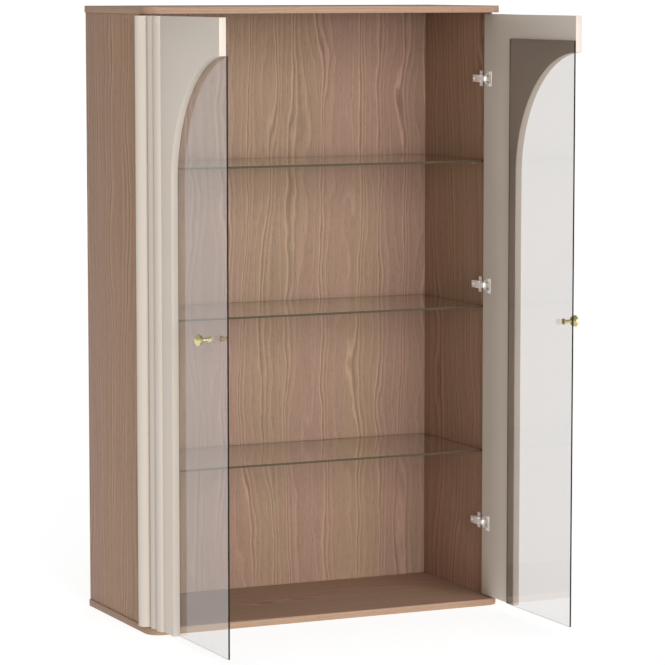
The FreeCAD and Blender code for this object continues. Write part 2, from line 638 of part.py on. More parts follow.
both_sides("knob_screw", screw("(%s + washer_thick)" % INNER_FACE, KNOB_Y, KNOB_Z, LEFT, "knob_screw_radius",
                               "(glass_thick + 2*washer_thick + spacer_length + knob_screw_grip)",
                               "knob_screw_head_radius", "knob_screw_head"))

# Check and write

doc.recompute()
for item in doc.Objects:
    if "Invalid" in item.State or "Error" in item.State:
        raise RuntimeError("not computed: " + item.Label)
os.makedirs("parts", exist_ok=True)
for item in nodes:
    if item.Shape.isNull() or not item.Shape.isValid() or not item.Shape.Solids:
        raise RuntimeError("no sound shape: " + item.Label)
    item.Shape.exportStep("parts/" + item.Label + ".step")
print(len(nodes), "nodes")
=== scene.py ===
import math

import bmesh
import bpy
from mathutils import Matrix, Vector


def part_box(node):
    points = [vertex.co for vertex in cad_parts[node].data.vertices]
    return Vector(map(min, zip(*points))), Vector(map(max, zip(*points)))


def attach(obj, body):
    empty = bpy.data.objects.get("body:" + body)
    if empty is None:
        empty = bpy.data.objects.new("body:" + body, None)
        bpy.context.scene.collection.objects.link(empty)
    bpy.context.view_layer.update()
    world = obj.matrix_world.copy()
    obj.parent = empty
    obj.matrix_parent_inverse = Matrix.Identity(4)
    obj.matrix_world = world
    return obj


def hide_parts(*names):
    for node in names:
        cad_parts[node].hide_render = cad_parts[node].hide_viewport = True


# Bookcase with two glass doors that stand open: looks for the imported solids, metres, same frame.
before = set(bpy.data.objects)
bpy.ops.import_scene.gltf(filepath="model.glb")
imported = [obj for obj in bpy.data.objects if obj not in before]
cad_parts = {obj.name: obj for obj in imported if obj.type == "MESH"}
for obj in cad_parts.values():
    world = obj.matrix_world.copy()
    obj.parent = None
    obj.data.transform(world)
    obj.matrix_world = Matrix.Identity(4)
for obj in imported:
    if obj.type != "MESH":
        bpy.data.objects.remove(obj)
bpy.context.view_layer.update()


# nodes and colours

def linear(hexColour):
    values = [int(hexColour[i:i + 2], 16) / 255 for i in (1, 3, 5)]
    return [v / 12.92 if v <= 0.04045 else ((v + 0.055) / 1.055) ** 2.4 for v in values] + [1.0]


def addNode(tree, kind, settings=None, inputs=None, stops=()):
    node = tree.nodes.new("ShaderNode" + kind)
    for name, value in (settings or {}).items():
        setattr(node, name, value)
    for socket, value in (inputs or {}).items():
        if isinstance(value, bpy.types.NodeSocket):
            tree.links.new(value, node.inputs[socket])
        else:
            node.inputs[socket].default_value = value
    for index, (place, grey) in enumerate(stops):       # a new ramp has two stops already
        ramp = node.color_ramp.elements
        stop = ramp[index] if index < 2 else ramp.new(place)
        stop.position = place
        stop.color = (grey, grey, grey, 1)
    return node


def newMaterial(name):
    material = bpy.data.materials.new(name)
    material.use_nodes = True
    material.node_tree.nodes.clear()
    tree = material.node_tree
    output = addNode(tree, "OutputMaterial")
    where = addNode(tree, "TexCoord").outputs["Object"]
    return material, tree, output, where


# Walnut melamine: a printed wood figure under a satin film, pressed with shallow pores.
# The eye gets long wavy growth lines, a light one beside a dark one, on a greyish brown with
# hair-fine streaks.
walnut = {
    "warm": "#987A69", "cool": "#967C66",
    "ringWidth": 0.048, "across": (0.7, 0.9, 0),        # a group of growth lines, and how groups follow on
    "layers": {                                         # width and length in metres, and detail
        "figure": (0.17, 1.1, 2.0), "wobble": (0.055, 0.21, 2.0), "fade": (0.07, 0.45, 1.0),
        "streak": (0.0028, 0.30, 2.0), "fibre": (0.0008, 0.09, 2.0), "drift": (0.12, 2.0, 0.0),
        "pore": (0.0009, 0.018, 1.0)},                  # pores drawn coarse enough to show
    "push": {"figure": 3.0, "wobble": 0.72},            # how far a layer bends the lines, in groups
    "spread": (0.35, 0.65), "poreSpread": (0.32, 0.42),  # the part of a layer's noise that is used
    "evenGrey": 0.5, "lineDepth": (0.85, 1.30), "streakDepth": 0.28, "fibreDepth": 0.34, "poreDepth": -0.22,
    "depthSpread": (0.8, 1.2), "roughness": (0.62, 0.50),   # dark grain is duller than light grain
    "gloss": 0.25, "relief": (0.05, 0.0004),
}
growthLines = (                                         # place in the group, and grey
    (0, 0.48), (1, 0.48), (0.12, 0.50), (0.16, 0.62), (0.19, 0.44), (0.30, 0.49), (0.39, 0.52), (0.43, 0.82),
    (0.46, 0.46), (0.49, 0.28), (0.54, 0.50), (0.60, 0.70), (0.63, 0.46), (0.66, 0.36), (0.72, 0.50),
    (0.83, 0.60), (0.86, 0.42))


def walnutLaminate(name, turn, paintedLightScale, broad, bold, sway):
    material, tree, output, where = newMaterial(name)
    upright = addNode(tree, "Mapping", inputs={"Vector": where, "Rotation": turn}).outputs[0]
    noise = {}
    for layer, (width, length, detail) in walnut["layers"].items():
        size = (1 / (width * broad), 1 / (width * broad), 1 / length)
        stretched = addNode(tree, "VectorMath", {"operation": "MULTIPLY"}, {0: upright, 1: size}).outputs[0]
        noise[layer] = addNode(tree, "TexNoise", inputs={
            "Vector": stretched, "Scale": 1.0, "Detail": detail}).outputs[0]

    # growth lines, group beside group, bent by two layers and fading in and out
    across = [n / (walnut["ringWidth"] * broad) for n in walnut["across"]]
    groups = addNode(tree, "VectorMath", {"operation": "DOT_PRODUCT"},
                     {0: upright, 1: across}).outputs["Value"]
    for layer, push in walnut["push"].items():
        groups = addNode(tree, "Math", {"operation": "MULTIPLY_ADD"},
                         {0: noise[layer], 1: push * sway, 2: groups}).outputs[0]
    place = addNode(tree, "Math", {"operation": "FRACT"}, {0: groups}).outputs[0]
    lines = addNode(tree, "ValToRGB", inputs={0: place}, stops=growthLines).outputs[0]
    lines = addNode(tree, "Math", {"operation": "SUBTRACT"}, {0: lines, 1: walnut["evenGrey"]}).outputs[0]
    faint, strong = (bold * n for n in walnut["lineDepth"])
    fade = addNode(tree, "MapRange", inputs=dict(enumerate(
        (noise["fade"], *walnut["spread"], faint, strong)))).outputs[0]

    # depth of the print: lines on a plain ground, then streaks, fibres and pores
    grain = {"streak": walnut["streakDepth"] * bold, "fibre": walnut["fibreDepth"]}
    plain = 1.0 - walnut["evenGrey"] * sum(grain.values())
    depth = addNode(tree, "Math", {"operation": "MULTIPLY_ADD"}, {0: lines, 1: fade, 2: plain}).outputs[0]
    for layer, amount in grain.items():
        depth = addNode(tree, "Math", {"operation": "MULTIPLY_ADD"},
                        {0: noise[layer], 1: amount, 2: depth}).outputs[0]
    pores = addNode(tree, "MapRange", inputs=dict(enumerate(
        (noise["pore"], *walnut["poreSpread"], walnut["poreDepth"], 0.0)))).outputs[0]
    depth = addNode(tree, "Math", {"operation": "ADD"}, {0: depth, 1: pores}).outputs[0]

    tone = addNode(tree, "MapRange", inputs=dict(enumerate((noise["drift"], *walnut["spread"])))).outputs[0]
    # painted light: the laminate's colours are scaled lighter or darker per copy, standing in for how each
    # set of faces is lit
    warm, cool = ([c * k for c, k in zip(linear(walnut[n]), paintedLightScale)] + [1] for n in ("warm", "cool"))
    brown = addNode(tree, "Mix", {"data_type": "RGBA"}, {0: tone, 6: warm, 7: cool}).outputs[2]
    colour = addNode(tree, "VectorMath", {"operation": "SCALE"}, {0: brown, "Scale": depth}).outputs[0]
    rough = addNode(tree, "MapRange", inputs=dict(enumerate(
        (depth, *walnut["depthSpread"], *walnut["roughness"])))).outputs[0]
    strength, distance = walnut["relief"]
    bump = addNode(tree, "Bump", inputs={
        "Strength": strength, "Distance": distance, "Height": depth}).outputs[0]
    shader = addNode(tree, "BsdfPrincipled", inputs={
        "Base Color": colour, "Roughness": rough, "Specular IOR Level": walnut["gloss"], "Normal": bump})
    tree.links.new(shader.outputs[0], output.inputs["Surface"])
    return material


# turn of the grain, painted light (each copy of the one laminate made lighter or darker for how its faces are
# lit), and how broad, bold and wavy its figure is
upwards = (0, 0, 0)
along = (0, math.pi / 2, 0)
walnutBack = walnutLaminate(
    "walnutMelamineBack", turn=upwards, paintedLightScale=(1, 1, 1), broad=1.0, bold=1.0, sway=1.0)
walnutSides = walnutLaminate(
    "walnutMelamineSides", turn=upwards, paintedLightScale=(1.08, 1.00, 0.94), broad=1.6, bold=1.0, sway=0.65)
walnutLengthwise = walnutLaminate(
    "walnutMelamineLengthwise", turn=along, paintedLightScale=(1.14, 1.12, 1.12), broad=1.0, bold=1.0, sway=0.8)
walnutBand = walnutLaminate(
    "walnutEdgeBand", turn=along, paintedLightScale=(1.12, 1.10, 1.08), broad=0.5, bold=0.5, sway=0.3)

# Sprayed satin lacquer on fibreboard: an even warm grey-beige with a faint orange peel.
lacquer = {"colour": "#CCC1B5", "deep": "#C7BCB0",
           "cloud": (0.35, 3.0), "peel": (0.003, 1.0),   # size and detail
           "spread": (0.3, 0.7), "roughness": (0.40, 0.48), "gloss": 0.35, "relief": (0.06, 0.0003)}
beigeLacquer, tree, output, where = newMaterial("beigeSatinLacquer")
cloud, peel = (addNode(tree, "TexNoise", inputs={
    "Vector": where, "Scale": 1 / size, "Detail": detail}).outputs[0]
    for size, detail in (lacquer["cloud"], lacquer["peel"]))
colour = addNode(tree, "Mix", {"data_type": "RGBA"},
                 {0: cloud, 6: linear(lacquer["colour"]), 7: linear(lacquer["deep"])}).outputs[2]
rough = addNode(tree, "MapRange", inputs=dict(enumerate(
    (cloud, *lacquer["spread"], *lacquer["roughness"])))).outputs[0]
strength, distance = lacquer["relief"]
bump = addNode(tree, "Bump", inputs={"Strength": strength, "Distance": distance, "Height": peel}).outputs[0]
shader = addNode(tree, "BsdfPrincipled", inputs={
    "Base Color": colour, "Roughness": rough, "Specular IOR Level": lacquer["gloss"], "Normal": bump})
tree.links.new(shader.outputs[0], output.inputs["Surface"])


# Float glass: sharp reflections with a trace of roller wave, and a tint that deepens with the way through.
sheet = {"ior": 1.5, "relief": (0.05, 0.0006)}


def floatGlass(name, tint, density, wave, gloss):
    material, tree, output, where = newMaterial(name)
    roller = addNode(tree, "TexNoise", inputs={"Vector": where, "Scale": 1 / wave, "Detail": 0.0}).outputs[0]
    strength, distance = sheet["relief"]
    bump = addNode(tree, "Bump", inputs={
        "Strength": strength, "Distance": distance, "Height": roller}).outputs[0]
    shader = addNode(tree, "BsdfPrincipled", inputs={
        "Base Color": (1, 1, 1, 1), "Roughness": 0.0, "IOR": sheet["ior"], "Specular IOR Level": gloss,
        "Transmission Weight": 1.0, "Normal": bump})
    inside = addNode(tree, "VolumeAbsorption", inputs={"Color": linear(tint), "Density": density})
    tree.links.new(shader.outputs[0], output.inputs["Surface"])
    tree.links.new(inside.outputs[0], output.inputs["Volume"])
    return material


smokedGlass = floatGlass("smokedFloatGlass", "#A29A8F", density=66.0, wave=0.18, gloss=0.32)
clearGlass = floatGlass("clearFloatGlass", "#B4BE8C", density=12.0, wave=0.22, gloss=0.50)

# Polished glass edges: the long way through the sheet makes them nearly black, or dark olive on clear
# glass. Where a frame or a board covers the edge, the brown seen through the glass is painted on the edge as
# its colour.
polish = {"grit": 0.006, "detail": 2.0, "roughness": 0.30, "gloss": 0.15}


def glassEdge(name, colour, deep):
    material, tree, output, where = newMaterial(name)
    grind = addNode(tree, "TexNoise", inputs={
        "Vector": where, "Scale": 1 / polish["grit"], "Detail": polish["detail"]}).outputs[0]
    tone = addNode(tree, "Mix", {"data_type": "RGBA"},
                   {0: grind, 6: linear(colour), 7: linear(deep)}).outputs[2]
    shader = addNode(tree, "BsdfPrincipled", inputs={
        "Base Color": tone, "Roughness": polish["roughness"], "IOR": sheet["ior"],
        "Specular IOR Level": polish["gloss"]})
    tree.links.new(shader.outputs[0], output.inputs["Surface"])
    return material


smokedEdge = glassEdge("smokedGlassEdge", "#17140F", "#100F0B")
# painted: the brown of the board or frame seen through the glass, laid on the covered edge as its colour
seenThroughEdge = glassEdge("paintedSeeThroughGlassEdge", "#6E5A4A", "#655344")
clearEdge = glassEdge("clearGlassEdge", "#524A39", "#463E2F")

# Metals: plated or polished, so colour is even and the gloss carries fine marks. The satin nickel
# scatters so much light that it reads as nearly white.
marking = {"detail": 2.0, "spread": (0.3, 0.7), "distance": 0.0001}
latheMarks = {"radian": 0.0012, "perUnit": 20, "distortion": 0.4}   # drawn coarse enough to show


def metal(name, colour, dull, roughness, markSize, markDepth, metallic, ringsAt=None):
    material, tree, output, where = newMaterial(name)
    marks = addNode(tree, "TexNoise", inputs={
        "Vector": where, "Scale": 1 / markSize, "Detail": marking["detail"]}).outputs[0]
    height = marks
    if ringsAt:                             # lathe marks round the axis of a turned piece
        centred = addNode(tree, "Mapping", inputs={"Vector": where, "Location": ringsAt}).outputs[0]
        scale = 1 / (latheMarks["perUnit"] * latheMarks["radian"])
        height = addNode(tree, "TexWave", {"wave_type": "RINGS", "rings_direction": "X"}, {
            "Vector": centred, "Scale": scale, "Distortion": latheMarks["distortion"]}).outputs[1]
    tone = addNode(tree, "Mix", {"data_type": "RGBA"},
                   {0: marks, 6: linear(colour), 7: linear(dull)}).outputs[2]
    rough = addNode(tree, "MapRange", inputs=dict(enumerate(
        (marks, *marking["spread"], *roughness)))).outputs[0]
    bump = addNode(tree, "Bump", inputs={
        "Strength": markDepth, "Distance": marking["distance"], "Height": height}).outputs[0]
    shader = addNode(tree, "BsdfPrincipled", inputs={
        "Base Color": tone, "Metallic": metallic, "Roughness": rough, "Normal": bump})
    tree.links.new(shader.outputs[0], output.inputs["Surface"])
    return material


knobCentre = sum(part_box("left_knob"), Vector()) / 2     # both knobs stand on one height and depth
knobAxis = (0, -knobCentre.y, -knobCentre.z)
brass = metal("polishedBrass", "#E0D5A2", "#D6CA92", roughness=(0.22, 0.32), markSize=0.004,
              markDepth=0.10, metallic=1.0, ringsAt=knobAxis)
nickel = metal("satinNickelPlate", "#FFFDF9", "#F7F4EF", roughness=(0.30, 0.38), markSize=0.003,
               markDepth=0.03, metallic=0.35)
zinc = metal("zincPlatedSteel", "#C9CBCB", "#B7BABC", roughness=(0.28, 0.42), markSize=0.0025,
             markDepth=0.10, metallic=1.0)

# Moulded plastics: clear parts that almost vanish against the glass, and matt brown caps with a fine grain.
moulding = {"detail": 2.0, "ior": 1.5, "relief": (0.08, 0.0001)}


def plastic(name, colour, deep, roughness, alpha, grain):
    material, tree, output, where = newMaterial(name)
    speck = addNode(tree, "TexNoise", inputs={
        "Vector": where, "Scale": 1 / grain, "Detail": moulding["detail"]}).outputs[0]
    tone = addNode(tree, "Mix", {"data_type": "RGBA"},
                   {0: speck, 6: linear(colour), 7: linear(deep)}).outputs[2]
    strength, distance = moulding["relief"]
    bump = addNode(tree, "Bump", inputs={
        "Strength": strength, "Distance": distance, "Height": speck}).outputs[0]
    shader = addNode(tree, "BsdfPrincipled", inputs={
        "Base Color": tone, "Roughness": roughness, "IOR": moulding["ior"], "Alpha": alpha, "Normal": bump})
    tree.links.new(shader.outputs[0], output.inputs["Surface"])
    return material


clearPlastic = plastic("clearPolycarbonate", "#B9B5AE", "#B0ACA5", roughness=0.12, alpha=0.09, grain=0.004)
brownPlastic = plastic("brownMattPlastic", "#94745F", "#8A6B57", roughness=0.55, alpha=1.0, grain=0.0012)

# Turned beech dowels: pale straight grain with short dark flecks.
dowel = {"pale": "#DDBE95", "fleck": "#BF9C72", "width": 0.00111, "length": 0.0091, "detail": 2.0,
         "roughness": 0.6}
beech, tree, output, where = newMaterial("turnedBeech")
size = (1 / dowel["width"], 1 / dowel["width"], 1 / dowel["length"])
stretched = addNode(tree, "VectorMath", {"operation": "MULTIPLY"}, {0: where, 1: size}).outputs[0]
flecks = addNode(tree, "TexNoise", inputs={
    "Vector": stretched, "Scale": 1.0, "Detail": dowel["detail"]}).outputs[0]
colour = addNode(tree, "Mix", {"data_type": "RGBA"},
                 {0: flecks, 6: linear(dowel["pale"]), 7: linear(dowel["fleck"])}).outputs[2]
shader = addNode(tree, "BsdfPrincipled", inputs={"Base Color": colour, "Roughness": dowel["roughness"]})
tree.links.new(shader.outputs[0], output.inputs["Surface"])
print("materials:", len(bpy.data.materials))


# modelling helpers

shaping = {"merge": 0.000004, "flat": math.radians(0.3), "sharp": math.radians(30),
           "smooth": math.radians(25), "facing": 0.9}


def alone(piece):
    bpy.ops.object.select_all(action="DESELECT")
    piece.select_set(True)
    bpy.context.view_layer.objects.active = piece


def copyOfNode(nodeName, pieceName):
    # the node's loose triangles merged, and its flat faces made whole
    piece = bpy.data.objects.new(pieceName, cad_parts[nodeName].data.copy())
    piece.data.name = pieceName
    piece.data.materials.clear()
    bpy.context.scene.collection.objects.link(piece)
    alone(piece)
    bpy.ops.mesh.customdata_custom_splitnormals_clear()
    bpy.ops.object.mode_set(mode="EDIT")
    bpy.ops.mesh.select_all(action="SELECT")
    bpy.ops.mesh.remove_doubles(threshold=shaping["merge"])
    bpy.ops.mesh.dissolve_limited(angle_limit=shaping["flat"])
    bpy.ops.object.mode_set(mode="OBJECT")
    return piece


def piecesBox(nodeNames):
    boxes = [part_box(name) for name in nodeNames]
    low = [min(box[0][i] for box in boxes) for i in range(3)]
    high = [max(box[1][i] for box in boxes) for i in range(3)]
    return low, high


def softenEdges(piece, width, steps, chosen):
    # rounds the sharp edges whose middle the test accepts
    alone(piece)
    bpy.ops.object.mode_set(mode="EDIT")
    bpy.ops.mesh.select_mode(type="EDGE")
    bpy.ops.mesh.select_all(action="DESELECT")
    mesh = bmesh.from_edit_mesh(piece.data)
    for edge in mesh.edges:
        sharp = len(edge.link_faces) == 2 and edge.calc_face_angle() > shaping["sharp"]
        if sharp and chosen((edge.verts[0].co + edge.verts[1].co) / 2):
            edge.select_set(True)
    bmesh.update_edit_mesh(piece.data)
    bpy.ops.mesh.bevel(offset=width, segments=steps, affect="EDGES", clamp_overlap=False)
    bpy.ops.object.mode_set(mode="OBJECT")


def anyPlace(point):
    return True


def settle(piece, body, slotName, nodeNames, *materials):
    low, high = piecesBox(nodeNames)
    for vertex in piece.data.vertices:              # a bevel may swell past its board by a few hundredths
        vertex.co = [min(max(vertex.co[i], low[i]), high[i]) for i in range(3)]
    alone(piece)
    bpy.ops.object.shade_smooth_by_angle(angle=shaping["smooth"])
    for material in materials:
        piece.data.materials.append(material)
    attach(piece, body)
    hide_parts(*nodeNames)


# boards of the carcass: outer edges rounded, top and base with a band of their own

boards = {"round": 0.0008, "steps": 2, "corner": 0.035, "near": 0.0003}


def boardOutline(nodeName):
    low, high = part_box(nodeName)
    middle = (low + high) / 2
    half = (high - low) / 2
    corner, near = boards["corner"], boards["near"]

    def onOutline(point):
        off = [half[i] - abs(point[i] - middle[i]) for i in range(3)]
        planes = sum(distance < near for distance in off)
        fromArc = Vector((half.x - corner - abs(point.x), low.y + corner - point.y))
        inCorner = fromArc.x < 0 and fromArc.y > 0
        onArc = inCorner and abs(fromArc.length - corner) < near and off[2] < near
        return planes >= 2 or onArc
    return onOutline


for nodeName, pieceName, axis, face, band in (
        ("top_panel", "topBoard", 2, walnutLengthwise, walnutBand),
        ("base_panel", "baseBoard", 2, walnutLengthwise, walnutBand),
        ("left_side_panel", "leftSideBoard", 0, walnutSides, walnutSides),
        ("right_side_panel", "rightSideBoard", 0, walnutSides, walnutSides),
        ("back_panel", "backBoard", 1, walnutBack, walnutBack)):
    board = copyOfNode(nodeName, pieceName)
    softenEdges(board, boards["round"], boards["steps"], boardOutline(nodeName))
    for polygon in board.data.polygons:
        polygon.material_index = 0 if abs(polygon.normal[axis]) > shaping["facing"] else 1
    settle(board, "carcass", "walnut_laminate", [nodeName], face, band)
print("boards done")


# door frames with broken edges, except in the pockets of the hinge cups, and the ribs on them

doorFrame = {"round": 0.0009, "steps": 2,
             "cupDepths": (-0.1896, -0.1506), "cupHeights": (0.03, 1.39), "outerFace": 0.439}


def outsideCups(point):
    front, back = doorFrame["cupDepths"]
    low, high = doorFrame["cupHeights"]
    inPocket = front < point.y < back and low < point.z < high
    return not (inPocket and abs(point.x) < doorFrame["outerFace"])


for side in ("left", "right"):
    leaf = copyOfNode(side + "_door_frame", side + "DoorFrame")
    softenEdges(leaf, doorFrame["round"], doorFrame["steps"], outsideCups)
    settle(leaf, side + "_door", "beige_lacquer", [side + "_door_frame"], beigeLacquer)
    for rib in ("outer", "middle", "inner"):
        strip = copyOfNode("%s_%s_rib" % (side, rib), side + rib.title() + "Rib")
        settle(strip, side + "_door", "beige_lacquer", ["%s_%s_rib" % (side, rib)], beigeLacquer)
print("door frames and ribs done")


# glass, with ground arrises and a hair of air where it is bonded or rests

glass = {"arris": 0.0002, "steps": 1, "hair": 0.0001, "faceZone": 0.0005, "crown": 1.325, "holeZone": 0.01,
         "front": -0.5}


def pullFaces(piece, axis):
    # both large faces go in by a hair, so that glass and what it touches don't share a face
    places = [vertex.co[axis] for vertex in piece.data.vertices]
    for place, step in ((min(places), glass["hair"]), (max(places), -glass["hair"])):
        alone(piece)
        bpy.ops.object.mode_set(mode="EDIT")
        bpy.ops.mesh.select_mode(type="VERT")
        bpy.ops.mesh.select_all(action="DESELECT")
        mesh = bmesh.from_edit_mesh(piece.data)
        for vertex in mesh.verts:
            vertex.select_set(abs(vertex.co[axis] - place) < glass["faceZone"])
        mesh.select_flush_mode()
        bmesh.update_edit_mesh(piece.data)
        bpy.ops.transform.translate(value=[step if i == axis else 0 for i in range(3)])
        bpy.ops.object.mode_set(mode="OBJECT")


def fillKnobHole(pane, knobNode):
    # clear plastic fills the hole, so the pane is drawn whole there
    centre = sum(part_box(knobNode), Vector()) / 2
    bpy.ops.object.mode_set(mode="EDIT")
    bpy.ops.mesh.select_mode(type="FACE")
    bpy.ops.mesh.select_all(action="DESELECT")
    mesh = bmesh.from_edit_mesh(pane.data)
    for face in mesh.faces:
        away = face.calc_center_median() - centre
        onWall = abs(face.normal.x) < shaping["facing"]
        face.select_set(onWall and math.hypot(away.y, away.z) < glass["holeZone"])
    bmesh.update_edit_mesh(pane.data)
    bpy.ops.mesh.delete(type="FACE")
    bpy.ops.mesh.select_mode(type="EDGE")
    bpy.ops.mesh.select_non_manifold()
    bpy.ops.mesh.fill_holes(sides=0)
    bpy.ops.mesh.select_all(action="SELECT")
    bpy.ops.mesh.dissolve_limited(angle_limit=shaping["flat"])
    bpy.ops.object.mode_set(mode="OBJECT")


leftSheet = (smokedGlass, smokedEdge, seenThroughEdge)       # face, free edge, covered edge painted with the brown seen through it
rightSheet = (smokedGlass, smokedEdge, smokedEdge)
shelfSheet = (clearGlass, clearEdge, seenThroughEdge)
for nodeName, pieceName, body, slotName, axis, materials in (
        ("left_door_glass", "leftPane", "left_door", "smoked_glass", 0, leftSheet),
        ("right_door_glass", "rightPane", "right_door", "smoked_glass", 0, rightSheet),
        ("lower_glass_shelf", "lowerShelf", "carcass", "clear_glass", 2, shelfSheet),
        ("middle_glass_shelf", "middleShelf", "carcass", "clear_glass", 2, shelfSheet),
        ("upper_glass_shelf", "upperShelf", "carcass", "clear_glass", 2, shelfSheet)):
    pane = copyOfNode(nodeName, pieceName)
    if axis == 0:
        fillKnobHole(pane, nodeName.replace("door_glass", "knob"))
        bpy.ops.object.mode_set(mode="EDIT")
        bpy.ops.mesh.select_all(action="SELECT")
        bpy.ops.mesh.bisect(plane_co=(0, 0, glass["crown"]), plane_no=(0, 0, 1))
        bpy.ops.object.mode_set(mode="OBJECT")
    softenEdges(pane, glass["arris"], glass["steps"], anyPlace)
    pullFaces(pane, axis)
    for polygon in pane.data.polygons:
        if abs(polygon.normal[axis]) < shaping["facing"]:
            onFrame = polygon.center.z > glass["crown"]
            onBoards = polygon.normal.y > glass["front"]
            covered = onFrame if axis == 0 else onBoards
            polygon.material_index = 2 if covered else 1
    settle(pane, body, slotName, [nodeName], *materials)
print("glass done")


# hinges: stamped and cast parts with broken edges

hinge = {"round": 0.00035, "steps": 2}
for side in ("left", "right"):
    for level in ("upper", "middle", "lower"):
        for part, body in (("plate", "carcass"), ("arm", "carcass"), ("cup", side + "_door")):
            nodeName = "%s_%s_hinge_%s" % (side, level, part)
            piece = copyOfNode(nodeName, side + level.title() + "Hinge" + part.title())
            softenEdges(piece, hinge["round"], hinge["steps"], anyPlace)
            settle(piece, body, "nickel", [nodeName], nickel)
print("hinges done")


# turned pieces: a disc pulled along and scaled, step by step, standing on the z axis

def turned(pieceName, steps, sides):
    bpy.ops.object.select_all(action="DESELECT")
    place, radius = steps[0]
    bpy.ops.mesh.primitive_circle_add(
        vertices=sides, radius=radius, fill_type="NGON", location=(0, 0, place))
    piece = bpy.context.object
    piece.name = pieceName
    bpy.ops.object.transform_apply(location=True, rotation=True, scale=True)
    bpy.ops.object.mode_set(mode="EDIT")
    bpy.ops.mesh.select_all(action="SELECT")
    for nextPlace, nextRadius in steps[1:]:
        bpy.ops.mesh.extrude_region_move(TRANSFORM_OT_translate={"value": (0, 0, nextPlace - place)})
        scale = nextRadius / radius
        bpy.ops.transform.resize(value=(scale, scale, 1), center_override=(0, 0, nextPlace))
        place, radius = nextPlace, nextRadius
    bpy.ops.mesh.select_all(action="SELECT")
    bpy.ops.mesh.normals_make_consistent(inside=False)
    bpy.ops.object.mode_set(mode="OBJECT")
    return piece


def pieceBoxes(nodeName):
    # low and high corner of every separate solid in a node
    probe = copyOfNode(nodeName, "probe")
    mesh = bmesh.new()
    mesh.from_mesh(probe.data)
    boxes, seen = [], set()
    for first in mesh.verts:
        found, waiting = [], [first]
        while waiting:
            vertex = waiting.pop()
            if vertex not in seen:
                seen.add(vertex)
                found.append(vertex.co.copy())
                waiting += [edge.other_vert(vertex) for edge in vertex.link_edges]
        if found:
            low, high = (Vector([pick(point[i] for point in found) for i in range(3)]) for pick in (min, max))
            boxes.append((low, high))
    mesh.free()
    bpy.data.objects.remove(probe)
    return boxes


# screws: domed heads with a cross recess, made once per kind and put where the solids have them

screwKinds = {                                          # recess: reach and half width of a wing, and depth
    "hinge": {"head": 0.0028, "height": 0.0014, "shank": 0.0015, "recess": (0.0017, 0.00034, 0.0009)},
    "panel": {"head": 0.0048, "height": 0.0030, "shank": 0.0032, "recess": (0.0030, 0.00055, 0.0018)},
}
screwShape = {"sides": 32, "neck": 0.0002, "lean": 0.45,
              "point": (0.3, 1.2),                      # width and length in shank radii
              "dome": ((0, 1), (0.35, 1), (0.68, 0.9), (0.9, 0.7), (1, 0.42))}  # shares of height and radius


def makeScrew(pieceName, kind, length):
    head, height, shank = kind["head"], kind["height"], kind["shank"]
    reach, half, deep = kind["recess"]
    thin, taper = screwShape["point"]
    steps = [(-length, thin * shank), (-length + taper * shank, shank), (-screwShape["neck"], shank)]
    steps += [(up * height, out * head) for up, out in screwShape["dome"]]
    screw = turned(pieceName, steps, screwShape["sides"])
    for turn in (0, math.pi / 2):
        bpy.ops.object.select_all(action="DESELECT")
        bpy.ops.mesh.primitive_cube_add(size=1, location=(0, 0, height), rotation=(0, 0, turn))
        cutter = bpy.context.object
        cutter.scale = (2 * reach, 2 * half, 2 * deep)
        bpy.ops.object.transform_apply(location=True, rotation=True, scale=True)
        bpy.ops.object.mode_set(mode="EDIT")            # the wings of the recess lean in towards its floor
        bpy.ops.mesh.select_mode(type="VERT")
        bpy.ops.mesh.select_all(action="DESELECT")
        mesh = bmesh.from_edit_mesh(cutter.data)
        for vertex in mesh.verts:
            vertex.select_set(vertex.co.z < height)
        bmesh.update_edit_mesh(cutter.data)
        lean = screwShape["lean"]
        bpy.ops.transform.resize(value=(lean, lean, 1), center_override=(0, 0, height - deep))
        bpy.ops.object.mode_set(mode="OBJECT")
        alone(screw)
        cut = screw.modifiers.new("recess", "BOOLEAN")
        cut.operation, cut.object, cut.solver = "DIFFERENCE", cutter, "EXACT"
        bpy.ops.object.modifier_apply(modifier="recess")
        bpy.data.objects.remove(cutter)
    return screw


for nodeName, pieceName, body, kindName, material in (
        ("left_cup_screws", "leftCupScrews", "left_door", "hinge", nickel),
        ("right_cup_screws", "rightCupScrews", "right_door", "hinge", nickel),
        ("hinge_plate_screws", "hingePlateScrews", "carcass", "hinge", nickel),
        ("hinge_arm_screws", "hingeArmScrews", "carcass", "hinge", nickel),
        ("base_panel_screws", "basePanelScrews", "carcass", "panel", zinc)):
    kind, boxes = screwKinds[kindName], pieceBoxes(nodeName)
    axis = 2 if kindName == "panel" else 0
    low, high = boxes[0]
    first = makeScrew(pieceName, kind, high[axis] - low[axis] - kind["height"])
    copies = []
    for low, high in boxes:
        middle = (low + high) / 2
        toward = Vector((0, 0, -1)) if axis == 2 else Vector((1 if middle.x < 0 else -1, 0, 0))
        seat = middle + toward * ((high[axis] - low[axis]) / 2 - kind["height"])
        copy = bpy.data.objects.new(pieceName, first.data.copy())
        copy.data.transform(Matrix.Translation(seat) @ toward.to_track_quat("Z", "Y").to_matrix().to_4x4())
        bpy.context.scene.collection.objects.link(copy)
        copies.append(copy)
    bpy.data.objects.remove(first)
    alone(copies[0])
    for copy in copies:
        copy.select_set(True)
    bpy.ops.object.join()
    copies[0].name = pieceName
    settle(copies[0], body, "zinc_steel", [nodeName], material)
print("screws done")


# knobs, and the clear stand-offs that hold them off the glass: spacer, washers and screw as one clear piece

